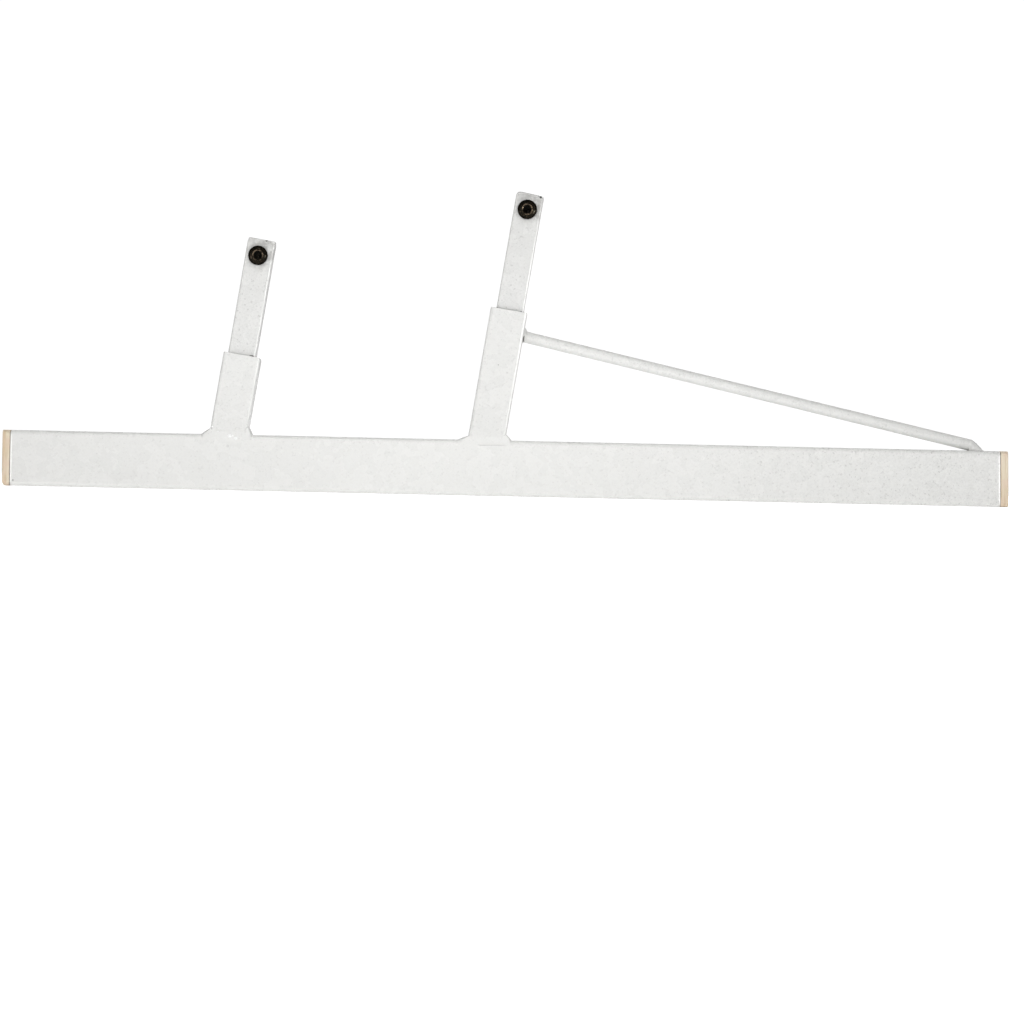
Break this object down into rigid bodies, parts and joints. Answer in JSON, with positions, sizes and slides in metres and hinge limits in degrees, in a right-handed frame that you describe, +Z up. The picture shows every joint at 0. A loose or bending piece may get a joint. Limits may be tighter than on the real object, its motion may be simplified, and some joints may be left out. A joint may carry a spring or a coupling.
{
  "type": "roof bracket",
  "caption": "Square-tube bracket arm with two leaning telescopic posts, a socket screw near each post top, a round diagonal brace and wooden end blocks.",
  "frame": {"origin": "middle of the arm's underside, half way along the overall length and half way across the arm's depth", "axes": "+X along the arm towards the brace end, +Z up from the underside to the posts, -Y out of the flush face that shows the screw heads"},
  "size_m": [1.08, 0.0619, 0.3282],
  "materials": {
    "white_paint": "slightly rough white spray paint, semi-gloss",
    "wood": "bare pale sawn wood",
    "bare_steel": "dull bare steel",
    "black_screw": "black oxide, satin with brown highlights"
  },
  "bodies": {
    "frame": {"arm_tube": "white_paint", "rear_end_block": "wood", "brace_end_block": "wood", "rear_brad_flush_side": "bare_steel", "rear_brad_back_side": "bare_steel", "brace_end_brad_back_side": "bare_steel", "short_sleeve": "white_paint", "tall_sleeve": "white_paint", "brace_rod": "white_paint", "short_sleeve_weld": "white_paint", "tall_sleeve_weld": "white_paint", "brace_upper_weld": "white_paint", "brace_lower_weld": "white_paint"},
    "short_post": {"short_inner_post": "white_paint", "short_post_cap": "white_paint", "short_post_bush": "bare_steel"},
    "tall_post": {"tall_inner_post": "white_paint", "tall_post_cap": "white_paint", "tall_post_bush": "bare_steel"},
    "short_screw": {"short_post_screw": "black_screw"},
    "tall_screw": {"tall_post_screw": "black_screw"}
  },
  "joints": [
    {"name": "short_post_slide", "type": "slide", "parent": "frame", "child": "short_post", "axis": [0.1513, 0, 0.9885], "range_m": [-0.033, 0.02]},
    {"name": "tall_post_slide", "type": "slide", "parent": "frame", "child": "tall_post", "axis": [0.1513, 0, 0.9885], "range_m": [-0.089, 0.02]},
    {"name": "short_screw_travel", "type": "slide", "parent": "short_post", "child": "short_screw", "axis": [0, -1, 0], "range_m": [0, 0.01225]},
    {"name": "tall_screw_travel", "type": "slide", "parent": "tall_post", "child": "tall_screw", "axis": [0, -1, 0], "range_m": [0, 0.01225]}
  ]
}
